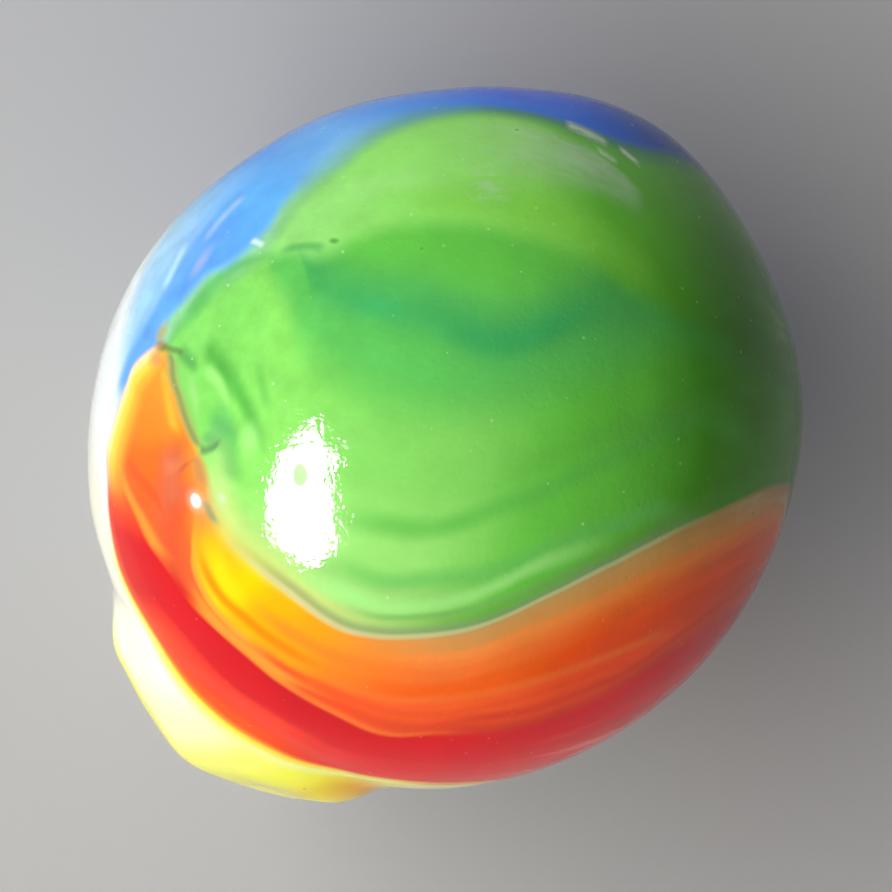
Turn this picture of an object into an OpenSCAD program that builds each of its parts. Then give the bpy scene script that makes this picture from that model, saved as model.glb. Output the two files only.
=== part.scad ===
// Glass swirl marble, machine made and out of round, with one fold of glass standing proud.
// One solid piece of glass. Millimetres, +Z up, origin at the centre of the ball.

/* [Ball] */
// Diameter along the ball's long axis
long_d = 16.6; // [14:0.1:24]
// Diameter across the long axis, all the way round the girth
girth_d = 15.4; // [12:0.1:22]
// Bearing of the long axis about Z, anticlockwise from +X (degrees)
long_turn = 39; // [0:1:180]

/* [Shoulder] */
// Diameter of the round shoulder that swells one end of the ball
shoulder_d = 8.8; // [6:0.1:12]
// Height of the shoulder's crown above the ball
shoulder_rise = 0.2; // [0.1:0.05:1]
// Bearing of the shoulder about Z (degrees)
shoulder_turn = 55; // [0:1:140]

/* [Fold] */
// Diameter of the rounded fold of glass
fold_d = 9.1; // [6:0.1:12]
// Height of the fold's tip above the ball, measured in plan
fold_rise = 1; // [0.4:0.05:2.5]
// Bearing of the fold about Z (degrees)
fold_turn = 231; // [200:1:340]
// Slope of the fold below the ball's equator (degrees)
fold_drop = 8; // [0:1:30]

/* [Hidden] */
$fn = 128;

// Radius of the ball's outline in plan, at a bearing about Z
function plan_r(turn) =
    let (a = long_d / 2, b = girth_d / 2, off = turn - long_turn)
    a * b / norm([b * cos(off), a * sin(off)]);

// The ball proper: half an ellipse, revolved about the long axis
module ball() {
    rotate([0, 90, long_turn])
        rotate_extrude()
            intersection() {
                scale([girth_d, long_d])
                    circle(d = 1);
                translate([0, -long_d])
                    square([girth_d, 2 * long_d]);
            }
}

// A round swelling of diameter d, whose crown stands proud of the ball by rise
module swelling(d, rise, turn, drop = 0) {
    centre = plan_r(turn) + rise - d / 2;
    rotate([0, 0, turn])
        translate([centre, 0, -centre * tan(drop)])
            sphere(d = d);
}

module marble() {
    color("limegreen") {
        ball();
        swelling(shoulder_d, shoulder_rise, shoulder_turn);
    }
    color("lemonchiffon")
        swelling(fold_d, fold_rise, fold_turn, fold_drop);
}

marble();
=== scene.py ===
"""A machine-made glass swirl marble, out of round, with one fold of pale glass standing proud."""

from math import cos, degrees, exp, radians, sin, sqrt

import bmesh
import bpy
from mathutils import Matrix, Vector


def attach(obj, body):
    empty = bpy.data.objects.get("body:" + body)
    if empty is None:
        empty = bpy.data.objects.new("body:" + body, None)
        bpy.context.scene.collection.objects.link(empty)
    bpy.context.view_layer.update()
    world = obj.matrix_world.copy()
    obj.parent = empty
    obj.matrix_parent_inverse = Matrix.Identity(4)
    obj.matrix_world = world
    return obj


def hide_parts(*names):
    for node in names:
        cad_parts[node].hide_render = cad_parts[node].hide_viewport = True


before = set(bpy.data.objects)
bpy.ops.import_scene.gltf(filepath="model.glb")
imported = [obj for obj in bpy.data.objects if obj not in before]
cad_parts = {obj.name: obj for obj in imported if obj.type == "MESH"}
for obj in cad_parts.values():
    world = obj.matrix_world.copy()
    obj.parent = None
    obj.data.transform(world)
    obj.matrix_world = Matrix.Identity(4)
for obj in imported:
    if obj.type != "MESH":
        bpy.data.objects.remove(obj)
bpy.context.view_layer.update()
scene = bpy.context.scene
scene.view_settings.view_transform = "Standard"


# ---------------------------------------------------------------- The marble
# One gob of opaque glass in five colours, cut hot and rolled between grooved rollers, so that it came out a
# little long. It kept a rounded shoulder, and a fold of pale glass that never melted flush.
# The mesh starts as a ball of even triangles, gets finer round the fold and the pinch, and is then drawn out.

# Lengths are in mm and angles in degrees, up to the step that sets the points of the mesh in metres.
mm = 0.001
long_half = 8.3
girth_half = 7.7
long_bearing = 39
fold_bearing = 231


def toward(bearing, rise=0.0):
    """The unit direction at a bearing, in degrees from +X towards +Y, and a rise above the middle."""
    turn, lift = radians(bearing), radians(rise)
    return Vector((cos(turn) * cos(lift), sin(turn) * cos(lift), sin(lift)))


# The shoulder and the fold are smaller balls of glass, each with a centre and a radius, melted into the big
# one. Below the middle the fold melts in more softly, the lower the place lies.
long_way = toward(long_bearing)
shoulder_ball = (4.05 * toward(55), 4.4)
fold_ball = (Vector((4.72 * cos(radians(fold_bearing)), 4.72 * sin(radians(fold_bearing)), -0.7)), 4.55)
shoulder_fillet = 0.3
fold_fillet = 0.25
belly_starts = -0.15
belly_fillet = 2.5

# Low swells and flats left by the rollers and along the fold's rim: bearing, rise, half width, height.
swells = (
    (152, 0, 20, 0.13),
    (24, 0, 13, -0.11),
    (93, 0, 10, -0.09),
    (201, 0, 5, -0.09),
    (212, 0, 4, 0.13),
    (231, 0, 5, 0.13),
    (243, 0, 5, -0.13),
    (254, 0, 4, 0.10),
    (262, 0, 4, -0.10),
    (345, 0, 20, -0.05),
)


def drawn_out(way):
    """The ball's radius in one direction, as an egg drawn out along its long axis."""
    along = way.dot(long_way)
    return 1 / sqrt((along / long_half) ** 2 + (1 - along ** 2) / girth_half ** 2)


def reach(way, centre, radius):
    """How far out a smaller ball of glass goes in one direction."""
    middle = way.dot(centre)
    spare = middle ** 2 - centre.length_squared + radius ** 2
    return middle + sqrt(spare) if spare > 0 and middle > 0 else 0.0


def melted(first, second, fillet):
    """The outer of two surfaces, with the corner between them filled by melted glass."""
    corner = max(fillet - abs(first - second), 0) / fillet
    return max(first, second) + corner ** 2 * fillet / 4


def marble_radius(way):
    """The finished marble's radius in one direction, in mm."""
    radius = melted(drawn_out(way), reach(way, *shoulder_ball), shoulder_fillet)
    fillet = fold_fillet + belly_fillet * max(belly_starts - way.z, 0)
    radius = melted(radius, reach(way, *fold_ball), fillet)
    for bearing, rise, width, height in swells:
        off = degrees(way.angle(toward(bearing, rise)))
        radius += height * exp(-(off / width) ** 2)
    return radius


def beside(place, line):
    """How far a place on a plan lies from a line of points, in mm."""
    best = 99.0
    for (x1, y1), (x2, y2) in zip(line, line[1:]):
        run = Vector((x2 - x1, y2 - y1))
        share = min(max((Vector((place[0] - x1, place[1] - y1)).dot(run)) / run.length_squared, 0), 1)
        best = min(best, (Vector((place[0] - x1, place[1] - y1)) - run * share).length)
    return best


# The pinch is where the hot gob was cut. Marks by it are placed on a plan of it seen straight on, by how far
# they lie towards the crown and the flank. Each crease has a line on that plan, a half width and a depth.
pinch = toward(162, 32)
crownward = toward(-18, 58)
flankward = toward(72)
long_crease = ((0.3, -0.1), (0.55, -0.22), (0.85, -0.63), (1.2, -0.95), (1.6, -1.4), (1.9, -1.7),
               (2.15, -1.93), (2.4, -1.86), (2.6, -1.7), (2.7, -1.5))
short_crease = ((0.05, -0.02), (0.45, -0.03), (0.75, -0.02), (1.1, -0.11), (1.5, -0.25))
creases = ((long_crease, 0.07, 0.012), (short_crease, 0.08, 0.012))
near_pinch = 0.85
chip_place = Vector((-3.20, -0.83, 7.05))
chip_way = chip_place.normalized()
chip_depth = 0.03
chip_half_width = 1.2

marble_mesh = bpy.data.meshes.new("marble_glass")
marble = bpy.data.objects.new("marble_glass", marble_mesh)
scene.collection.objects.link(marble)

# The mesh is made finer within an angle of each of these directions, one after another.
finer_spots = ((toward(fold_bearing), 38), (toward(164, 42), 24), (toward(166, 41), 17), (chip_way, 5),
               (chip_way, 3))
shape = bmesh.new()
bmesh.ops.create_icosphere(shape, subdivisions=7, radius=1)
for middle, spread in finer_spots:
    near = [e for e in shape.edges if all(degrees(v.co.angle(middle)) < spread for v in e.verts)]
    bmesh.ops.subdivide_edges(shape, edges=near, cuts=1, use_grid_fill=True)
    bmesh.ops.triangulate(shape, faces=[f for f in shape.faces if len(f.verts) > 3])
for vert in shape.verts:
    way = vert.co.normalized()
    radius = marble_radius(way)
    if way.dot(pinch) > near_pinch:
        place = (radius * way.dot(crownward), radius * way.dot(flankward))
        for line, half_width, depth in creases:
            radius -= depth * exp(-(beside(place, line) / half_width) ** 2)
    radius -= chip_depth * exp(-(degrees(way.angle(chip_way)) / chip_half_width) ** 2)
    vert.co = way * radius * mm
for face in shape.faces:
    face.smooth = True
shape.to_mesh(marble_mesh)
shape.free()

# The glass: five ribbons run from the pinch, where the hot gob was cut, to the far side of the ball.
# Every colour is placed by two angles: "along", from 0 at the pinch to 180 at the far side, and "around" it.

glass = bpy.data.materials.new("swirl_glass")
glass.use_nodes = True
glass.node_tree.nodes.clear()
tree = glass.node_tree


def node(kind, inputs, **settings):
    """Adds a node to the tree in hand; inputs gives each socket by number or name, with its value or link."""
    made = tree.nodes.new("ShaderNode" + kind)
    for name, value in settings.items():
        setattr(made, name, value)
    for socket, value in inputs.items():
        if isinstance(value, bpy.types.NodeSocket):
            tree.links.new(value, made.inputs[socket])
        else:
            made.inputs[socket].default_value = value
    return made


def work(operation, *values, clamp=False):
    """The result of a Math node."""
    return node("Math", dict(enumerate(values)), operation=operation, use_clamp=clamp).outputs[0]


def vector_work(operation, *values):
    """The vector that a Vector Math node gives."""
    return node("VectorMath", dict(enumerate(values)), operation=operation).outputs["Vector"]


def across_dot(vector, way):
    """How far a vector goes along a fixed direction."""
    return node("VectorMath", {0: vector, 1: way}, operation="DOT_PRODUCT").outputs["Value"]


def rise_between(value, low, high, start=0.0, end=1.0):
    """A smooth rise from start to end as a value goes from low to high."""
    return node("MapRange", {0: value, 1: low, 2: high, 3: start, 4: end},
                interpolation_type="SMOOTHSTEP").outputs[0]


def stain(red, green, blue):
    """A glass colour from its chart values, 0 to 255, as the light values that a socket takes."""
    chart = [part / 255 for part in (red, green, blue)]
    return tuple(p / 12.92 if p < 0.04 else ((p + 0.055) / 1.055) ** 2.4 for p in chart) + (1.0,)


def laid_over(under, over, mask, strength=1.0):
    """One colour laid over another where a mask is white. Its strength is a number or one more mask."""
    if strength != 1.0:
        mask = work("MULTIPLY", mask, strength)
    return node("Mix", {0: mask, 6: under, 7: over}, data_type="RGBA").outputs[2]


def blended(value, *stops):
    """A Color Ramp: each stop is a place from 0 to 1 and a chart colour."""
    ramp = node("ValToRGB", {0: value})
    line = ramp.color_ramp
    line.interpolation = "EASE"
    while len(line.elements) < len(stops):
        line.elements.new(1.0)
    for element, (spot, _) in zip(line.elements, stops):
        element.position = spot
    for element, (_, colour) in zip(line.elements, stops):
        element.color = stain(*colour)
    return ramp.outputs[0]


def course(along, points):
    """The line that an edge or a trail follows: a smooth curve through points, read at a place along it."""
    start, end = points[0][0], points[-1][0]
    low = min(p[1] for p in points) - 2
    high = max(p[1] for p in points) + 2
    curve = node("FloatCurve", {1: node("MapRange", {0: along, 1: start, 2: end}).outputs[0]})
    line = curve.mapping.curves[0]
    places = [((a - start) / (end - start), (b - low) / (high - low)) for a, b in points]
    line.points[0].location = places[0]
    line.points[1].location = places[-1]
    for place in places[1:-1]:
        line.points.new(*place)
    curve.mapping.update()
    return node("MapRange", {0: curve.outputs[0], 3: low, 4: high}).outputs[0]


# A trail of coloured glass, as a mask: it follows a course and fades at its sides and its two ends.
trail_group = bpy.data.node_groups.new("glass_trail", "ShaderNodeTree")
for name in ("Along", "Aside", "Half Width", "Softness", "Start", "End", "Taper"):
    trail_group.interface.new_socket(name=name, in_out="INPUT", socket_type="NodeSocketFloat")
trail_group.interface.new_socket(name="Mask", in_out="OUTPUT", socket_type="NodeSocketFloat")
tree = trail_group
given = tree.nodes.new("NodeGroupInput").outputs
inner = work("MULTIPLY", given["Half Width"], work("SUBTRACT", 1.0, given["Softness"]))
outer = work("MULTIPLY", given["Half Width"], work("ADD", 1.0, given["Softness"]))
body_of_trail = rise_between(work("ABSOLUTE", given["Aside"]), inner, outer, 1.0, 0.0)
head = rise_between(work("SUBTRACT", given["Along"], given["Start"]), 0.0, given["Taper"])
tail = rise_between(work("SUBTRACT", given["End"], given["Along"]), 0.0, given["Taper"])
masked = work("MULTIPLY", body_of_trail, work("MULTIPLY", head, tail))
tree.links.new(masked, tree.nodes.new("NodeGroupOutput").inputs["Mask"])

# A dab of glass, as a mask: an oval about a centre, measured on a plan or on the ball.
dab_group = bpy.data.node_groups.new("glass_dab", "ShaderNodeTree")
for name in ("Place", "Centre", "Half Size"):
    dab_group.interface.new_socket(name=name, in_out="INPUT", socket_type="NodeSocketVector")
dab_group.interface.new_socket(name="Softness", in_out="INPUT", socket_type="NodeSocketFloat")
dab_group.interface.new_socket(name="Mask", in_out="OUTPUT", socket_type="NodeSocketFloat")
tree = dab_group
given = tree.nodes.new("NodeGroupInput").outputs
spread = vector_work("DIVIDE", vector_work("SUBTRACT", given["Place"], given["Centre"]), given["Half Size"])
far_out = node("VectorMath", {0: spread}, operation="LENGTH").outputs["Value"]
inner = work("SUBTRACT", 1.0, given["Softness"])
outer = work("ADD", 1.0, given["Softness"])
tree.links.new(rise_between(far_out, inner, outer, 1.0, 0.0),
               tree.nodes.new("NodeGroupOutput").inputs["Mask"])

tree = glass.node_tree
object_place = node("TexCoord", {}).outputs["Object"]
glass_place = node("VectorMath", {0: object_place, "Scale": 1 / mm}, operation="SCALE").outputs["Vector"]
straight_way = vector_work("NORMALIZE", object_place)
# Both angles are read after a slight wander, so that no edge is drawn too evenly.
wander = node("TexNoise", {"Vector": straight_way, "Scale": 2.6, "Detail": 2.0}).outputs["Color"]
wander = node("VectorMath", {0: vector_work("SUBTRACT", wander, (0.5, 0.5, 0.5)), "Scale": 0.02},
              operation="SCALE").outputs["Vector"]
way_out = vector_work("NORMALIZE", vector_work("ADD", straight_way, wander))

along = work("DEGREES", work("ARCCOSINE", across_dot(way_out, pinch)))
around = work("DEGREES", work("ARCTAN2", across_dot(way_out, flankward), across_dot(way_out, crownward)))
# At the far side, where the gob was cut again, the ribbons turn together and fray.
frayed = node("TexNoise", {"Vector": straight_way, "Scale": 3.5, "Detail": 3.0}).outputs["Fac"]
turn = work("ADD", rise_between(along, 134, 180, 0.0, 95.0),
            work("MULTIPLY", work("SUBTRACT", frayed, 0.5), rise_between(along, 132, 168, 0.0, 130.0)))
around = work("WRAP", work("ADD", around, turn), 180.0, -180.0)
# Millimetres for each degree around, at this distance from the pinch.
mean_radius = 8.0
span = work("MULTIPLY", work("SINE", work("RADIANS", along)), mean_radius * radians(1))

blue_edge = course(along, ((0, 109), (3, 105), (8, 83), (14, 76), (20, 66), (26, 68), (31, 74), (42, 78),
                           (53, 81), (64, 79), (75, 74), (83, 69), (92, 66), (100, 68), (110, 71),
                           (140, 66), (180, 45)))
green_edge = course(along, ((0, -12), (2, -18), (6, -34), (11, -39), (16, -41), (25, -45), (34, -50),
                            (41, -48), (48, -46), (58, -44), (63, -41), (68, -37), (76, -30), (86, -18),
                            (92, -12), (100, -5), (110, 2), (132, 13), (180, 25)))
orange_edge = course(along, ((0, -151), (7, -145), (11, -130), (16, -122), (20, -113), (24, -101),
                             (28, -90), (32, -84), (37, -77), (42, -74), (51, -68), (60, -65), (70, -62),
                             (78, -60), (85, -54), (94, -49), (105, -40), (125, -22), (180, -5)))
crimson_edge = course(along, ((0, -151), (7, -145), (11, -130), (16, -123), (22, -119), (26, -112),
                              (32, -108), (38, -104), (42, -100), (47, -95), (53, -92), (58, -89),
                              (64, -85), (70, -82), (78, -79), (86, -75), (92, -72), (99, -70), (105, -69),
                              (112, -70), (125, -72), (149, -62), (180, -50)))


def part_way(first, second):
    """How far across a ribbon a place lies, from 0 at its first edge to 1 at its second."""
    return node("MapRange", {0: around, 1: first, 2: second}).outputs[0]


def aside_of(line):
    """How far a place lies past a line, towards the crown, in mm."""
    return work("MULTIPLY", work("SUBTRACT", around, line), span)


def beyond(edge, softness, shift=0.0):
    """White past an edge, with a soft change of the given width in mm."""
    return rise_between(aside_of(edge), shift - softness / 2, shift + softness / 2)


def softly_beyond(edge, reach_past, share_before=1.0):
    """White past an edge whose softness varies: how far past it the change goes, and the share before it."""
    return rise_between(aside_of(edge), work("MULTIPLY", reach_past, -share_before), reach_past)


cream_part = part_way(-180.0, crimson_edge)
crimson_part = part_way(crimson_edge, orange_edge)
orange_part = part_way(orange_edge, green_edge)
green_part = part_way(green_edge, blue_edge)
blue_part = part_way(blue_edge, 180.0)

# Fine streaks run with the ribbons, because the glass was drawn out along them while it was hot.
flow = blue_part
for part in (green_part, orange_part, crimson_part, cream_part):
    flow = work("ADD", part, flow)
drawn = node("CombineXYZ", {0: work("MULTIPLY", flow, 5.0), 1: work("MULTIPLY", along, 0.02),
                            2: 0.0}).outputs[0]
streak = node("TexNoise", {"Vector": drawn, "Scale": 1.0, "Detail": 4.0, "Roughness": 0.6}).outputs["Fac"]
streak = work("SUBTRACT", streak, 0.5)
# Cloudiness: pale and dark drifts in the glass, and a finer mottle inside them.
cloud = node("TexNoise", {"Vector": glass_place, "Scale": 0.55, "Detail": 4.0,
                          "Roughness": 0.62}).outputs["Fac"]
cloud = work("SUBTRACT", cloud, 0.5)


def streaky(part, amount):
    """A ribbon's part with the streaks worked in."""
    return work("ADD", part, work("MULTIPLY", streak, amount), clamp=True)


def trail_mask(step, off, half_width, softness, start, end, taper):
    """A trail of glass, as a mask: step is how far along it a place lies, and off is how far aside of it."""
    return node("Group", {"Along": step, "Aside": off, "Half Width": half_width, "Softness": softness,
                          "Start": start, "End": end, "Taper": taper},
                node_tree=trail_group).outputs["Mask"]


def trailed(under, colour, line, half_width, softness, start, end, taper=8.0, aside=0.0, strength=1.0):
    """Lays a trail of glass along a line: its widths in mm, its ends and taper in degrees from the pinch."""
    if not isinstance(line, bpy.types.NodeSocket):
        line = course(along, line)
    off = work("SUBTRACT", aside_of(line), aside)
    mask = trail_mask(along, off, half_width, softness, start, end, taper)
    return laid_over(under, stain(*colour), mask, strength)


# The plan of the pinch: how far towards the crown and towards the flank, and white on the pinch's own side.
to_crown = across_dot(glass_place, crownward)
to_flank = across_dot(glass_place, flankward)
pinch_side = rise_between(across_dot(glass_place, pinch), 1.0, 3.0)
pinch_plan = node("CombineXYZ", {0: to_crown, 1: to_flank, 2: 0.0}).outputs[0]
# The plan of the whole marble, seen from above: white on the upper side, and how far along X and along Y.
top_side = rise_between(across_dot(glass_place, Vector((0, 0, 1))), 0.5, 1.5)
across_plan = across_dot(glass_place, Vector((1, 0, 0)))
up_plan = across_dot(glass_place, Vector((0, 1, 0)))


def line_mask(line, half_width, softness, taper, crosswise, whole):
    """A line on the pinch's plan, or on the plan of the whole marble, as a mask.

    A crosswise line runs towards the crown, or along X. Any other runs towards the flank, or along Y.
    Each of its points gives how far along that way it lies, and then how far aside.
    """
    step, aside = (across_plan, up_plan) if whole else (to_crown, to_flank)
    if not crosswise:
        step, aside = aside, step
    off = work("SUBTRACT", aside, course(step, line))
    mask = trail_mask(step, off, half_width, softness, line[0][0], line[-1][0], taper)
    return work("MULTIPLY", mask, top_side if whole else pinch_side)


def marked(under, colour, line, half_width, softness, taper, strength=1.0, crosswise=False):
    """Lays a short line of glass by the pinch."""
    mask = line_mask(line, half_width, softness, taper, crosswise, False)
    return laid_over(under, stain(*colour), mask, strength)


def dab_mask(place, centre, half_size, softness):
    """An oval on the pinch's plan, or an egg-shaped patch on the ball, as a mask."""
    return node("Group", {"Place": place, "Centre": centre, "Half Size": half_size, "Softness": softness},
                node_tree=dab_group).outputs["Mask"]


def dabbed(under, colour, centre, half_size, softness, strength=1.0):
    """Lays a dab of glass by the pinch."""
    mask = dab_mask(pinch_plan, (*centre, 0), (*half_size, 1), softness)
    return laid_over(under, stain(*colour), work("MULTIPLY", mask, pinch_side), strength)


# The cream: white by the pinch, pale cream over the fold, then lemon yellow and gold at the fold's far end.
# The pale cream on the fold's side towards the lamp is partly painted glare over yellow glass.
past_cream = work("MULTIPLY", aside_of(crimson_edge), -1.0)
cream = blended(streaky(cream_part, 0.7), (0.0, (234, 244, 248)), (0.3, (246, 247, 242)),
                (0.48, (250, 248, 226)), (0.6, (248, 250, 240)), (0.78, (250, 249, 216)),
                (1.0, (246, 248, 236)))
# Along the fold: partly painted glare where it faces the lamp, then lemon, yellow and gold.
fold_glare_and_yellow = blended(node("MapRange", {0: along, 1: 40, 2: 110}).outputs[0],
                     (0.0, (250, 250, 246)), (0.22, (248, 249, 222)), (0.36, (252, 252, 186)),
                     (0.46, (254, 253, 116)), (0.56, (255, 254, 76)), (0.66, (255, 230, 40)),
                     (0.82, (252, 240, 160)), (1.0, (250, 244, 212)))
cream = laid_over(cream, fold_glare_and_yellow, rise_between(along, 42, 54),
                  rise_between(past_cream, 2.4, 4.6, 1.0, 0.0))
cream = laid_over(cream, stain(255, 252, 116), work("MULTIPLY", rise_between(past_cream, 2.1, 2.7),
                                                    rise_between(past_cream, 3.2, 5.0, 1.0, 0.0)),
                  work("MULTIPLY", rise_between(along, 50, 60), rise_between(along, 92, 112, 1.0, 0.0)))
cream = trailed(cream, (246, 176, 20), ((82, -81), (90, -83), (97, -85), (104, -84)), 0.5, 0.95, 82, 103,
                taper=8)
# Its margin along the crimson goes from lemon through yellow to orange. Each row has a colour, how far from
# the edge it is full and where it ends, in mm, and where along the ribbon it sets in.
for colour, full, gone, start, end in (
        ((250, 252, 150), 0.34, 0.62, 30, 46),
        ((255, 226, 70), 0.14, 0.36, 34, 46),
        ((252, 150, 46), -0.02, 0.16, 30, 44),
        ((252, 182, 96), 0.2, 0.45, 90, 98)):
    margin = rise_between(past_cream, full, gone, 1.0, 0.0)
    cream = laid_over(cream, stain(*colour), margin, rise_between(along, start, end))

# The crimson: red by the pinch, then orange-red along the fold, and deepest along the orange.
crimson = blended(streaky(crimson_part, 0.16), (0.0, (255, 112, 30)), (0.07, (255, 84, 24)),
                  (0.25, (254, 66, 20)), (0.42, (250, 50, 20)), (0.6, (214, 2, 16)), (1.0, (206, 0, 18)))
crimson = laid_over(crimson, stain(210, 0, 10), work("MULTIPLY", rise_between(along, 40, 48, 1.0, 0.0),
                                                     rise_between(crimson_part, 0.02, 0.2)), 0.85)
crimson = trailed(crimson, (252, 60, 24), ((44, -92), (51, -87), (57, -83), (63, -77), (70, -73),
                                           (76, -70)), 0.40, 0.95, 44, 76, taper=10, strength=0.75)
crimson = trailed(crimson, (214, 0, 18), ((40, -78), (46, -75), (54, -73), (64, -70), (75, -66), (88, -59)),
                  0.30, 0.9, 40, 96, strength=0.7)
crimson = laid_over(crimson, stain(236, 0, 18), rise_between(along, 66, 84), 0.85)
crimson = laid_over(crimson, stain(252, 78, 18), rise_between(along, 26, 33, 1.0, 0.0))
crimson = laid_over(crimson, stain(252, 126, 20), rise_between(along, 21, 27, 1.0, 0.0))

# The orange: a yellow rim by the pinch, a golden patch low on the left, and finer lines of yellow and red.
orange = blended(streaky(orange_part, 0.22), (0.0, (250, 76, 18)), (0.12, (252, 86, 24)),
                 (0.3, (255, 96, 30)), (0.5, (255, 104, 34)), (0.64, (255, 122, 52)),
                 (0.78, (252, 146, 68)), (0.88, (222, 154, 82)), (1.0, (198, 162, 96)))
orange_by_pinch = blended(node("MapRange", {0: along, 1: 6, 2: 26}).outputs[0], (0.0, (250, 146, 34)),
                          (0.35, (252, 130, 22)), (0.65, (253, 104, 14)), (1.0, (252, 92, 16)))
orange_by_pinch = laid_over(orange_by_pinch, stain(246, 156, 44),
                            rise_between(streaky(orange_part, 0.2), 0.62, 1.0), 0.75)
orange = laid_over(orange, orange_by_pinch, rise_between(along, 20, 34, 1.0, 0.0))
orange = laid_over(orange, stain(250, 76, 20), rise_between(along, 84, 100),
                   rise_between(orange_part, 0.45, 0.85, 0.85, 0.0))
golden = blended(node("MapRange", {0: along, 1: 30, 2: 74}).outputs[0], (0.0, (216, 150, 44)),
                 (0.14, (232, 188, 30)), (0.3, (240, 202, 8)), (0.42, (246, 176, 14)),
                 (0.6, (252, 160, 28)), (0.8, (254, 144, 44)), (1.0, (253, 134, 56)))
gold_line = course(along, ((20, -54), (30, -58), (34, -63), (40, -67), (48, -65), (58, -60), (76, -50)))
orange = laid_over(orange, golden, work("MULTIPLY", beyond(gold_line, 0.35),
                                        work("MULTIPLY", rise_between(along, 29, 35),
                                             rise_between(along, 56, 78, 1.0, 0.0))))
orange = trailed(orange, (240, 214, 22), ((33, -58), (37, -58), (42, -59), (48, -58)), 0.24, 0.95, 34, 48,
                 taper=6)
orange = trailed(orange, (255, 140, 26), ((36, -70), (44, -70), (54, -65), (66, -58)), 0.12, 0.9, 36, 66)
orange = trailed(orange, (252, 124, 18), ((33, -61), (40, -63), (48, -60), (58, -56), (68, -51)), 0.13,
                 0.95, 31, 66, taper=10, strength=0.75)
orange = trailed(orange, (255, 128, 44), ((44, -56), (52, -54), (62, -50), (72, -45)), 0.18, 0.95, 44, 78,
                 taper=10, strength=0.6)
orange = trailed(orange, (255, 168, 44), gold_line, 0.09, 0.8, 29, 54, taper=5, strength=0.9)
orange = trailed(orange, (255, 158, 40), ((38, -70), (44, -69), (52, -66), (62, -61), (72, -57)), 0.08, 0.9,
                 38, 70, strength=0.7)
orange = trailed(orange, (232, 58, 22), ((52, -62), (60, -61), (69, -59), (78, -56), (86, -49), (94, -42),
                                         (105, -33)), 0.16, 0.95, 50, 116, strength=0.45)
orange = trailed(orange, (240, 66, 26), ((60, -58), (69, -56), (78, -52), (86, -45), (94, -38), (105, -29)),
                 0.12, 0.95, 60, 116, strength=0.35)
orange = trailed(orange, (255, 126, 52), ((62, -56), (72, -52), (82, -44), (94, -34), (110, -22)), 0.16,
                 0.95, 60, 116, strength=0.45)
# A dusty red drift lies between the orange by the pinch and the golden patch.
orange = trailed(orange, (204, 98, 62), ((17, -54), (22, -62), (27, -67), (31, -70)), 0.44, 0.95, 15, 32,
                 taper=5, strength=0.9)
orange = trailed(orange, (214, 80, 40), ((24, -62), (28, -68), (33, -72), (37, -74), (42, -73)), 0.42, 0.95,
                 24, 44, taper=6, strength=0.9)
orange = trailed(orange, (204, 24, 8), ((34, -76), (39, -75), (43, -72), (48, -70), (53, -67)), 0.16, 0.95,
                 34, 50, taper=6, strength=0.85)
orange = trailed(orange, (216, 34, 20), orange_edge, 0.40, 0.95, 74, 150, aside=0.1, taper=16,
                 strength=0.75)
orange = trailed(orange, (226, 48, 20), orange_edge, 0.14, 0.95, 78, 150, aside=0.85, taper=14,
                 strength=0.5)
orange = trailed(orange, (255, 122, 44), orange_edge, 0.12, 0.9, 40, 92, aside=0.10, taper=14,
                 strength=0.85)
orange = trailed(orange, (250, 148, 44), orange_edge, 0.20, 0.95, 19, 36, aside=0.30, taper=5, strength=0.9)
orange = trailed(orange, (250, 150, 44), orange_edge, 0.18, 0.95, 40, 64, aside=0.25, taper=6,
                 strength=0.95)
# The yellow rim by the pinch fades into the orange.
past_rim = aside_of(crimson_edge)
rim = blended(node("MapRange", {0: past_rim, 1: 0.0, 2: 1.3}).outputs[0], (0.0, (246, 243, 214)),
              (0.10, (246, 238, 150)), (0.28, (250, 214, 70)), (0.55, (252, 176, 40)),
              (1.0, (254, 122, 22)))
rim_mask = work("MULTIPLY", rise_between(past_rim, 0.6, 1.3, 1.0, 0.0),
                rise_between(along, 20, 29, 1.0, 0.0))

# The green: pale by the pinch and low down, lime near the blue, with one deeper zone and a teal swoop in it.
lime_line = course(along, ((0, 60), (24, 52), (30, 47), (35, 43), (40, 45), (48, 45), (58, 43), (66, 40),
                           (76, 37), (86, 32), (110, 28), (180, 30)))
teal_line = course(along, ((0, 60), (27, 62), (30, 47), (31, 35), (36, 26), (44, 22), (52, 20), (57, 18),
                           (62, 17), (66, 18), (71, 21), (76, 24), (83, 27), (100, 34), (180, 40)))
deep_line = course(along, ((0, 66), (20, 62), (23, 53), (25, 37), (28, 23), (31, 12), (37, 6), (45, 3),
                           (56, 4), (66, 8), (74, 13), (84, 19), (94, 26), (120, 32), (180, 36)))
green = blended(streaky(green_part, 0.10), (0.0, (176, 204, 116)), (0.05, (160, 216, 118)),
                (0.12, (154, 226, 114)), (0.3, (133, 214, 97)), (0.5, (121, 210, 86)),
                (1.0, (128, 216, 90)))
green = laid_over(green, stain(138, 222, 98), rise_between(along, 24, 48, 1.0, 0.0))
green = laid_over(green, stain(124, 210, 94), rise_between(along, 16, 30, 1.0, 0.0), 0.8)
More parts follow.
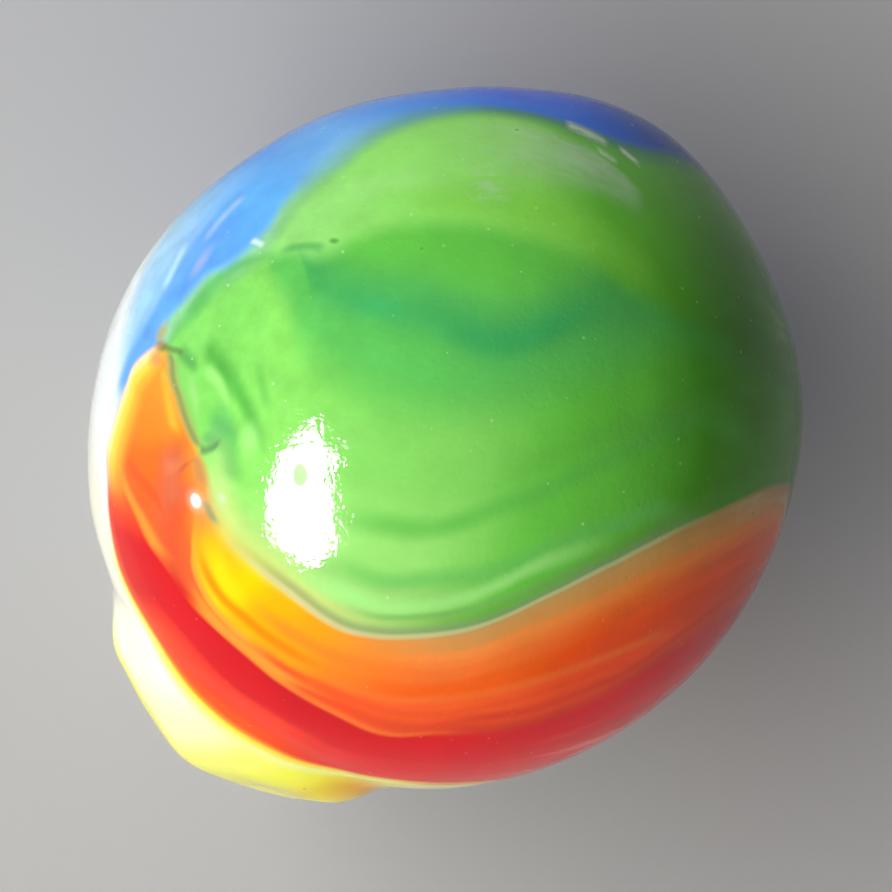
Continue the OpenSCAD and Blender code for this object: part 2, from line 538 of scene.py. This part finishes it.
# It deepens away from the pinch.
green = laid_over(green, stain(100, 202, 64), rise_between(along, 60, 80), 0.9)
green = laid_over(green, stain(84, 164, 40), rise_between(along, 86, 110), 0.9)
green = laid_over(green, stain(92, 194, 90), beyond(deep_line, 1.7, 0.1), 0.9)
green = laid_over(green, stain(106, 208, 78), beyond(teal_line, 1.5, 1.4))
teal_band = work("MULTIPLY", beyond(teal_line, 1.0, -0.08),
                 rise_between(aside_of(teal_line), 0.35, 1.6, 1.0, 0.0))
teal_band = work("MULTIPLY", teal_band, rise_between(along, 64, 100, 1.0, 0.0))
green = laid_over(green, stain(70, 176, 94), teal_band, 0.75)
green = trailed(green, (64, 180, 104), teal_line, 0.22, 0.9, 33, 52, aside=0.30, taper=10, strength=0.6)
green = trailed(green, (62, 176, 96), teal_line, 0.30, 0.9, 48, 82, aside=0.30, taper=12, strength=0.7)
lime = blended(node("MapRange", {0: along, 1: 30, 2: 110}).outputs[0], (0.0, (150, 226, 120)),
               (0.3, (152, 238, 108)), (0.5, (148, 238, 96)), (0.66, (112, 206, 64)), (1.0, (78, 158, 40)))
green = laid_over(green, lime, beyond(lime_line, 0.85, 0.12))
green = trailed(green, (140, 228, 80), lime_line, 0.5, 0.9, 44, 92, aside=0.9, taper=14, strength=0.7)
green = trailed(green, (160, 236, 124), lime_line, 0.35, 0.9, 32, 60, aside=1.5, taper=10, strength=0.7)
# Pale olive where it lies over the golden patch.
green = laid_over(green, stain(204, 216, 118), rise_between(aside_of(green_edge), 0.1, 0.9, 1.0, 0.0),
                  work("MULTIPLY", rise_between(along, 24, 32), rise_between(along, 50, 66, 1.0, 0.0)))
# A grey-green margin parts the green from the blue, paler and softer by the pinch and deeper far from it.
green = laid_over(green, stain(96, 162, 112), rise_between(aside_of(blue_edge), -0.9, 0.0), 0.8)
green = laid_over(green, stain(146, 216, 150), rise_between(aside_of(blue_edge), -0.7, -0.1),
                  rise_between(along, 22, 58, 0.95, 0.0))
green = laid_over(green, stain(50, 126, 112), rise_between(aside_of(blue_edge), -0.8, 0.1),
                  rise_between(along, 60, 74, 0.0, 0.65))

# Darker and paler stripes below, drawn out with the glass.
green = trailed(green, (98, 190, 76), ((46, -25), (50, -23), (54, -21), (60, -18), (65, -14), (70, -9),
                                       (76, -4), (81, 1), (87, 6), (93, 11), (101, 16)), 0.27, 0.95, 44,
                118, taper=12, strength=0.75)
green = trailed(green, (100, 186, 70), ((60, -8), (70, -2), (80, 6), (90, 12), (101, 18)), 0.30, 0.95, 66,
                118, taper=14, strength=0.55)
green = trailed(green, (108, 196, 92), ((48, -35), (54, -33), (59, -31), (65, -26), (72, -21), (77, -16),
                                        (82, -11), (88, -7), (96, -1)), 0.25, 0.95, 46, 112, taper=12,
                strength=0.7)
green = trailed(green, (164, 236, 132), ((40, -44), (48, -41), (58, -37), (63, -34), (70, -28), (76, -21),
                                         (80, -16), (89, -9)), 0.22, 0.95, 40, 94, taper=16, strength=0.75)
green = trailed(green, (122, 190, 96), ((56, -40), (61, -38), (65, -35), (71, -30), (75, -26), (80, -21),
                                        (88, -13)), 0.09, 0.9, 56, 104, taper=8, strength=0.75)
green = laid_over(green, stain(186, 226, 128), dab_mask(glass_place, (-4.9, -2.6, 5.5), (1.1, 1.0, 1.6),
                                                        0.9), 0.75)

# The green by the pinch is bounded by a darker line and has soft whorls in it.
green = marked(green, (84, 186, 84), ((0.4, 0.5), (1.05, 0.65), (1.7, 0.85), (2.25, 1.28), (2.55, 1.72),
                                      (2.8, 2.2)), 0.22, 0.95, 0.6, 0.7)
green = marked(green, (84, 172, 70), ((1.3, 0.4), (1.5, 0.3), (2.05, 0.02), (2.45, -0.2), (2.9, -0.52),
                                      (3.25, -0.87), (3.6, -1.26), (3.9, -1.6)), 0.22, 0.95, 0.5, 0.85,
               crosswise=True)
green = marked(green, (160, 236, 126), ((1.6, -0.25), (2.1, -0.33), (2.5, -0.62), (2.8, -0.95)), 0.14, 0.95,
               0.4, 0.8, crosswise=True)
green = marked(green, (150, 216, 118), ((1.2, -0.5), (1.6, -0.78), (1.95, -1.25), (2.15, -1.6)), 0.17, 0.95,
               0.4, 0.85, crosswise=True)
green = marked(green, (96, 190, 84), ((2.9, 0.3), (3.2, 0.0), (3.5, -0.4), (3.8, -0.7)), 0.16, 0.95, 0.4,
               0.55, crosswise=True)
green = marked(green, (82, 164, 78), ((0.6, -0.02), (0.75, -0.02), (1.1, -0.11), (1.5, -0.25),
                                      (1.65, -0.32)), 0.15, 0.95, 0.35, 0.85, crosswise=True)
green = marked(green, (92, 184, 88), ((-2.5, 3.1), (-2.15, 3.02), (-1.85, 2.95), (-1.5, 2.88),
                                      (-1.25, 2.72), (-1.05, 2.45)), 0.21, 0.95, 0.4, 0.85)
green = dabbed(green, (82, 178, 98), (2.62, -1.32), (0.3, 0.34), 0.9, 0.8)
green = dabbed(green, (78, 170, 94), (2.42, -1.66), (0.22, 0.14), 0.8, 0.8)
green = dabbed(green, (164, 236, 132), (3.36, -1.36), (0.2, 0.3), 0.95, 0.6)
green = marked(green, (86, 178, 92), ((2.0, 2.8), (2.3, 2.92), (2.6, 3.05), (2.9, 3.1), (3.1, 3.02)), 0.10,
               0.9, 0.3, 0.7, crosswise=True)
green = dabbed(green, (70, 136, 60), (3.05, 3.34), (0.09, 0.06), 0.8, 0.7)
green = dabbed(green, (186, 222, 140), (2.65, -2.6), (0.4, 0.9), 0.95, 0.5)

# The blue: sky blue with a deeper streak by the pinch, paling to white low at its side, royal blue far from
# the pinch. The pale blue and white low at the side face the lamp, and are partly the glass's own pale edge
# and partly painted glare.
past_crown = work("MULTIPLY", to_crown, -1.0)
sky = blended(rise_between(past_crown, -0.4, 2.6), (0.0, (92, 164, 253)), (0.3, (104, 172, 253)),
              (0.5, (140, 196, 254)), (0.75, (160, 214, 254)), (1.0, (168, 220, 252)))
whiter_with_glare = work("ADD", past_crown, work("MULTIPLY", to_flank, -0.55))
# Partly painted glare: the side towards the lamp turns white.
sky = laid_over(sky, stain(244, 251, 251), rise_between(whiter_with_glare, 1.35, 2.6))
sky = laid_over(sky, stain(96, 186, 255), rise_between(to_flank, 2.3, 4.0), 0.7)
sky = marked(sky, (92, 164, 255), ((-1.5, -1.15), (-0.8, -1.12), (-0.4, -1.02), (0.0, -0.87), (0.35, -0.75),
                                   (0.85, -0.45), (1.3, -0.2), (2.2, 0.35), (3.1, 0.7)), 0.26, 0.9, 0.5,
             0.9)
sky = marked(sky, (180, 226, 255), ((1.1, -0.92), (1.25, -0.95), (1.8, -1.05), (2.2, -1.16), (2.4, -1.2)),
             0.13, 0.9, 0.3, 0.8)
sky = marked(sky, (168, 208, 255), ((2.4, -0.45), (2.6, -0.47), (3.1, -0.47), (3.6, -0.4), (3.8, -0.36)),
             0.12, 0.9, 0.3, 0.7)
sky = dabbed(sky, (158, 182, 238), (-0.05, 2.03), (0.16, 0.34), 0.9, 0.8)
blue_far = blended(streaky(blue_part, 0.2), (0.0, (0, 122, 252)), (0.12, (0, 100, 250)),
                   (0.35, (6, 78, 238)), (0.7, (90, 150, 245)), (0.9, (205, 232, 252)),
                   (1.0, (225, 244, 252)))
blue_middle = blended(streaky(blue_part, 0.15), (0.0, (128, 196, 255)), (0.14, (104, 182, 255)),
                      (0.36, (52, 156, 255)), (0.6, (80, 172, 255)), (1.0, (160, 214, 255)))
blue = laid_over(sky, blue_middle, rise_between(along, 31, 42))
blue = laid_over(blue, stain(66, 156, 255), rise_between(along, 46, 60))
blue = laid_over(blue, blue_far, rise_between(along, 56, 78))
blue = laid_over(blue, stain(0, 66, 160), rise_between(along, 78, 104),
                 rise_between(blue_part, 0.2, 0.6, 0.85, 0.0))
blue = laid_over(blue, stain(232, 244, 250), rise_between(streaky(blue_part, 0.15), 0.82, 1.0),
                 rise_between(along, 24, 40))
# Close to the pinch the sky blue and its white reach over the cream's side too.
near_cream = laid_over(cream, sky, rise_between(along, 20, 34, 1.0, 0.0))

# The ribbons lie over one another in turn. The green's edge is soft by the pinch, softest over the golden
# patch, and crisp from there on. The blue's is softest a little way from the pinch.
swirl = laid_over(near_cream, crimson, beyond(crimson_edge, 0.22))
orange_reach = rise_between(along, 70, 96, 0.1, 0.3)
swirl = laid_over(swirl, orange, softly_beyond(orange_edge, orange_reach, 0.6))
swirl = laid_over(swirl, rim, work("MULTIPLY", rim_mask, beyond(crimson_edge, 0.22)))
green_reach = work("MULTIPLY", rise_between(along, 26, 36, 0.0, 0.28),
                   rise_between(along, 44, 62, 1.0, 0.0))
green_reach = work("ADD", rise_between(along, 26, 64, 0.18, 0.09), green_reach)
swirl = laid_over(swirl, green, softly_beyond(green_edge, green_reach))
blue_reach = work("MULTIPLY", rise_between(along, 30, 44, 0.0, 0.5), rise_between(along, 56, 76, 1.0, 0.0))
blue_reach = work("ADD", 0.30, blue_reach)
swirl = laid_over(swirl, blue, softly_beyond(blue_edge, blue_reach))

# An olive shade, a grey line and a paler one part the green from the orange.
swirl = trailed(swirl, (112, 156, 78), green_edge, 0.30, 0.95, 60, 116, taper=18, aside=0.28, strength=0.5)
swirl = trailed(swirl, (132, 158, 110), green_edge, 0.13, 0.9, 34, 112, taper=16, aside=0.10, strength=0.7)
swirl = trailed(swirl, (200, 202, 146), green_edge, 0.08, 0.85, 32, 112, taper=14, aside=-0.06,
                strength=0.8)

# Redder and duller streaks in the orange close to the pinch.
swirl = marked(swirl, (250, 74, 22), ((-0.5, -2.66), (-0.29, -2.73), (0.39, -3.04), (0.92, -3.3),
                                      (1.3, -3.7)), 0.13, 0.95, 0.4, 0.6, crosswise=True)
swirl = marked(swirl, (214, 122, 84), ((0.95, -2.45), (1.3, -2.5), (1.65, -2.4), (1.95, -2.2)), 0.17, 0.95,
               0.4, 0.6, crosswise=True)
swirl = marked(swirl, (206, 104, 72), ((1.1, -2.95), (1.5, -3.0), (1.95, -2.9), (2.3, -2.75)), 0.20, 0.95,
               0.4, 0.55, crosswise=True)

# Small marks where the gob was cut: the knot, the creases, a brown margin, a slate comma and a pale chip.
swirl = dabbed(swirl, (180, 180, 98), (-0.16, 0.24), (0.17, 0.24), 0.8, 0.9)
swirl = dabbed(swirl, (240, 142, 84), (0.0, -0.32), (0.26, 0.2), 0.8, 0.8)
swirl = dabbed(swirl, (150, 116, 56), (0.03, -0.04), (0.2, 0.12), 0.9, 0.85)
swirl = marked(swirl, (226, 176, 48), ((-1.85, 1.45), (-1.5, 1.17), (-0.9, 0.75), (-0.5, 0.42),
                                       (-0.35, 0.3)), 0.16, 0.95, 0.3, 0.85)
swirl = marked(swirl, (190, 138, 84), ((-2.8, 2.3), (-2.4, 2.2), (-2.1, 2.03), (-1.95, 1.85)), 0.18, 0.95,
               0.3, 0.85)
swirl = marked(swirl, (190, 96, 56), ((-2.75, 1.5), (-2.5, 1.67), (-2.3, 1.86), (-2.1, 2.1)), 0.07, 0.95,
               0.3, 0.7)
border_line = ((-1.95, 2.17), (-1.7, 1.9), (-1.4, 1.6), (-0.95, 1.2), (-0.63, 0.85), (-0.22, 0.55),
               (-0.05, 0.3))
swirl = marked(swirl, (158, 162, 94), border_line, 0.20, 0.95, 0.2, 0.8)
swirl = marked(swirl, (112, 144, 84), border_line, 0.09, 0.95, 0.15, 0.65)
swirl = marked(swirl, (98, 148, 90), ((2.1, -1.9), (2.25, -1.93), (2.4, -1.86), (2.55, -1.75),
                                      (2.68, -1.58)), 0.09, 0.9, 0.12, 0.85, crosswise=True)
swirl = marked(swirl, (96, 132, 68), ((0.0, -0.03), (0.2, -0.03), (0.45, -0.03), (0.75, -0.02),
                                      (0.95, -0.07)), 0.07, 0.9, 0.15, 0.8, crosswise=True)
swirl = marked(swirl, (142, 150, 108), ((-3.45, 2.68), (-3.25, 2.58), (-3.1, 2.46), (-2.88, 2.33)), 0.11,
               0.95, 0.2, 0.85)
swirl = dabbed(swirl, (255, 214, 190), (2.15, -3.04), (0.24, 0.22), 0.6, 0.3)
swirl = dabbed(swirl, (255, 251, 240), (2.15, -3.04), (0.14, 0.14), 0.35)
swirl = marked(swirl, (222, 244, 244), ((1.05, 2.81), (1.3, 2.8), (1.6, 2.76)), 0.06, 0.9, 0.15, 0.8,
               crosswise=True)
swirl = dabbed(swirl, (196, 236, 180), (2.85, -2.80), (0.09, 0.09), 0.8, 0.8)

# A painted reflection high on the right: a pale haze with brighter glinting dashes in it, laid on as frosted
# patches that also dull the gloss.
drag = node("CombineXYZ", {0: work("MULTIPLY", along, 0.22), 1: work("MULTIPLY", aside_of(blue_edge), 4.0),
                           2: 0.0})
glint_grain = node("TexNoise", {"Vector": drag.outputs[0], "Scale": 1.0, "Detail": 4.0,
                                "Roughness": 0.65}).outputs["Fac"]
glint_grain = rise_between(glint_grain, 0.36, 0.62)
reflected_haze_line = course(across_plan, ((-1.5, 7.12), (0.8, 7.1), (1.6, 7.0), (2.5, 6.7), (3.2, 6.4), (3.8, 5.95),
                                 (4.4, 5.4)))
under_reflected_haze = work("SUBTRACT", reflected_haze_line, up_plan)
reflected_haze_share = work("DIVIDE", under_reflected_haze, work("MULTIPLY_ADD", across_plan, -0.38, 2.4))
reflected_haze = work("MULTIPLY", rise_between(reflected_haze_share, -0.08, 0.12),
            rise_between(reflected_haze_share, 0.35, 1.0, 1.0, 0.0))
reflected_haze = work("MULTIPLY", reflected_haze, work("MULTIPLY", rise_between(across_plan, -0.6, 3.4, 0.05, 1.0),
                                   rise_between(across_plan, 3.9, 4.5, 1.0, 0.0)))
reflected_haze = work("MULTIPLY", reflected_haze, rise_between(across_plan, -1.8, -0.4))
reflected_haze = work("MULTIPLY", work("MULTIPLY", reflected_haze, top_side), work("MULTIPLY_ADD", glint_grain, 0.4, 0.6))
painted_glints = line_mask(((2.6, 7.0), (2.98, 6.83), (3.3, 6.68), (3.65, 6.48)), 0.09, 0.8, 0.2, True, True)
for line in (((3.3, 6.43), (3.55, 6.26), (3.85, 6.06)), ((3.8, 6.48), (4.07, 6.25), (4.36, 5.98))):
    painted_glints = work("MAXIMUM", painted_glints, line_mask(line, 0.06, 0.8, 0.15, True, True))
painted_glints = work("MULTIPLY", painted_glints, work("MULTIPLY_ADD", glint_grain, 0.5, 0.5))
reflected_cloudlet = work("MULTIPLY", dab_mask(glass_place, (1.0, 5.6, 5.4), (0.45, 0.45, 1.0), 0.95), glint_grain)
# The painted reflection: the haze, the glinting dashes and a small pale cloud, in one mask.
reflection_and_frost = work("MAXIMUM", work("MULTIPLY", reflected_haze, 0.60),
             work("MAXIMUM", painted_glints, work("MULTIPLY", reflected_cloudlet, 0.4)))
# Here the painted reflection goes into the colour as a pale tint.
swirl = laid_over(swirl, stain(206, 230, 200), reflection_and_frost)

# Far from the pinch pale wisps run through every colour.
swirl = laid_over(swirl, stain(226, 238, 214), rise_between(streak, 0.06, 0.2),
                  rise_between(along, 96, 132, 0.0, 0.3))

# Specks: seeds and grains of dust in the glass, sparse all over, and fine drifts of lighter and darker glass.
seeds = node("TexVoronoi", {"Vector": glass_place, "Scale": 1.9})
kind_of_seed = node("SeparateColor", {0: seeds.outputs["Color"]}).outputs[0]
speck_size = work("MULTIPLY_ADD", kind_of_seed, 0.07, 0.05)
specks = rise_between(seeds.outputs["Distance"], 0.025, speck_size, 1.0, 0.0)
dark_ones = work("GREATER_THAN", kind_of_seed, 0.96)
swirl = laid_over(swirl, stain(60, 96, 48), work("MULTIPLY", specks, dark_ones), 0.5)
in_green = rise_between(aside_of(green_edge), -0.4, 0.4, 0.25, 1.0)
swirl = laid_over(swirl, stain(226, 246, 214), work("MULTIPLY", specks,
                                                    work("SUBTRACT", in_green, dark_ones, clamp=True)), 0.4)
# Close to the pinch the green is more mottled than elsewhere, and far from it the streaks show more.
mottle = node("TexNoise", {"Vector": glass_place, "Scale": 1.5, "Detail": 3.0,
                           "Roughness": 0.55}).outputs["Fac"]
mottle = work("MULTIPLY", work("SUBTRACT", mottle, 0.5),
              work("MULTIPLY", rise_between(along, 20, 60, 0.5, 0.12),
                   rise_between(aside_of(green_edge), 0, 0.8)))
far_streak = work("MULTIPLY", streak, rise_between(along, 84, 124, 0.0, 0.8))
drift = work("MULTIPLY_ADD", cloud, 0.24, work("ADD", work("ADD", mottle, far_streak), 1.0))
lighter = node("HueSaturation", {"Value": drift, "Color": swirl}).outputs[0]

# The skin: slow ripples from the rollers, fine grain, pin-prick pits, and wear that dulls the gloss.
ripple_height = 0.03
grain_height = 0.007
pit_depth = 0.002
ripple = node("TexNoise", {"Vector": glass_place, "Scale": 0.7, "Detail": 1.0}).outputs["Fac"]
grain = node("TexNoise", {"Vector": glass_place, "Scale": 5.0, "Detail": 2.0,
                          "Roughness": 0.6}).outputs["Fac"]
pits = node("TexVoronoi", {"Vector": glass_place, "Scale": 4.0}).outputs["Distance"]
pits = rise_between(pits, 0.05, 0.28)
relief = work("MULTIPLY_ADD", grain, grain_height, work("MULTIPLY", pits, pit_depth))
relief = work("MULTIPLY_ADD", ripple, ripple_height, relief)
skin = node("Bump", {"Strength": 1.0, "Distance": mm, "Height": relief}).outputs["Normal"]
wear = node("TexNoise", {"Vector": glass_place, "Scale": 1.3, "Detail": 3.0,
                         "Roughness": 0.7}).outputs["Fac"]
wear = rise_between(wear, 0.45, 0.75, 0.03, 0.11)
# The chip is rough inside, and so is the frost under the painted reflection.
chip = dab_mask(glass_place, chip_place, (0.17, 0.30, 0.6), 0.3)
dulled = work("MAXIMUM", wear, work("MAXIMUM", work("MULTIPLY", chip, 0.55), work("MULTIPLY", reflection_and_frost, 0.45)))

# The gloss is a little weaker than clear glass's, so that the pale table veils the colours less.
surface = node("BsdfPrincipled", {"Base Color": lighter, "Roughness": dulled, "IOR": 1.5,
                                  "Specular IOR Level": 0.27, "Normal": skin})
tree.links.new(surface.outputs[0], node("OutputMaterial", {}).inputs["Surface"])
marble_mesh.materials.append(glass)

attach(marble, "root")
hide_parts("marble")


# ----------------------------------------------------------------- The floor
# A plain pale table top of matt board, wide enough to reach the horizon.
# The marble touches it at its lowest point, and its shadow lies on it.

floor_level = -girth_half * mm
floor_half_width = 2.0
floor_mesh = bpy.data.meshes.new("table_top")
floor = bpy.data.objects.new("table_top", floor_mesh)
scene.collection.objects.link(floor)
sheet = bmesh.new()
bmesh.ops.create_grid(sheet, x_segments=1, y_segments=1, size=floor_half_width)
bmesh.ops.translate(sheet, verts=sheet.verts[:], vec=(0, 0, floor_level))
sheet.to_mesh(floor_mesh)
sheet.free()

table_top = bpy.data.materials.new("table_top")
table_top.use_nodes = True
table_top.node_tree.nodes.clear()
tree = table_top.node_tree
board = node("BsdfPrincipled", {"Base Color": (0.45, 0.445, 0.44, 1.0), "Roughness": 0.9,
                                "Specular IOR Level": 0.0})
tree.links.new(board.outputs[0], node("OutputMaterial", {}).inputs["Surface"])
floor_mesh.materials.append(table_top)


# ----------------------------------------------------------------- The light
# One soft oval lamp stands to the left, taller than it is wide, and three weak broad ones stand for the room.
# Each lamp has its power in watts and its place in metres from the middle of the marble.

def lamp_at(name, shape, watts, place, width, height, turn=0.0):
    """A lamp that faces the marble, upright in the camera's view or turned by an angle in degrees."""
    way = Vector(place).normalized()
    side = Vector((0, 1, 0)).cross(way).normalized()
    facing = Matrix((side, way.cross(side), way)).transposed() @ Matrix.Rotation(radians(turn), 3, "Z")
    light = bpy.data.lights.new(name, "AREA")
    light.shape = shape
    light.size = width
    light.size_y = height
    light.energy = watts
    lamp = bpy.data.objects.new(name, light)
    lamp.location = place
    lamp.rotation_mode = "QUATERNION"
    lamp.rotation_quaternion = facing.to_quaternion()
    scene.collection.objects.link(lamp)
    return lamp


# The lamp's light and the sight of it in the gloss are set apart, so that the highlight is white.
# In the gloss it is an oval with a peak on top.
key = lamp_at("key", "ELLIPSE", 0.35, (-0.094, -0.022, 0.115), 0.08, 0.40)
key.visible_glossy = False
glint = lamp_at("glint", "ELLIPSE", 0.36, (-0.0598, -0.0258, 0.0625), 0.033, 0.058)
glint.visible_diffuse = False
glint_peak = lamp_at("glint_peak", "RECTANGLE", 0.145, (-0.0602, -0.005, 0.0695), 0.025, 0.026, 40)
glint_peak.visible_diffuse = False

# The room's own light comes from above the far side of the table, from the near side, and low from the left.
above = lamp_at("above", "ELLIPSE", 0.16, (-0.12, 0.16, 0.145), 0.3, 0.3)
above.visible_glossy = False
below = lamp_at("below", "ELLIPSE", 0.15, (-0.02, -0.20, 0.12), 0.2, 0.2)
below.visible_glossy = False
low_left = lamp_at("low_left", "ELLIPSE", 0.10, (-0.2, 0.08, 0.03), 0.2, 0.05)
low_left.visible_glossy = False

room = bpy.data.worlds.new("room")
room.use_nodes = True
room.node_tree.nodes.clear()
tree = room.node_tree
air = node("Background", {"Color": (0.05, 0.05, 0.05, 1.0), "Strength": 1.0})
tree.links.new(air.outputs[0], node("OutputWorld", {}).inputs["Surface"])
scene.world = room


# ---------------------------------------------------------------- The camera
# It looks straight down on the marble from a quarter of a metre away, through a long lens.
# The width of the view is measured level with the middle of the marble.

film_width = 36
view_width = 20.09 * mm
camera_height = 0.25
camera_shift = -0.2 * mm
lens = bpy.data.cameras.new("camera")
lens.sensor_width = film_width
lens.lens = film_width * camera_height / view_width
lens.clip_start = 0.01
lens.clip_end = 10
camera = bpy.data.objects.new("camera", lens)
camera.location = (0, camera_shift, camera_height)
scene.collection.objects.link(camera)
scene.camera = camera
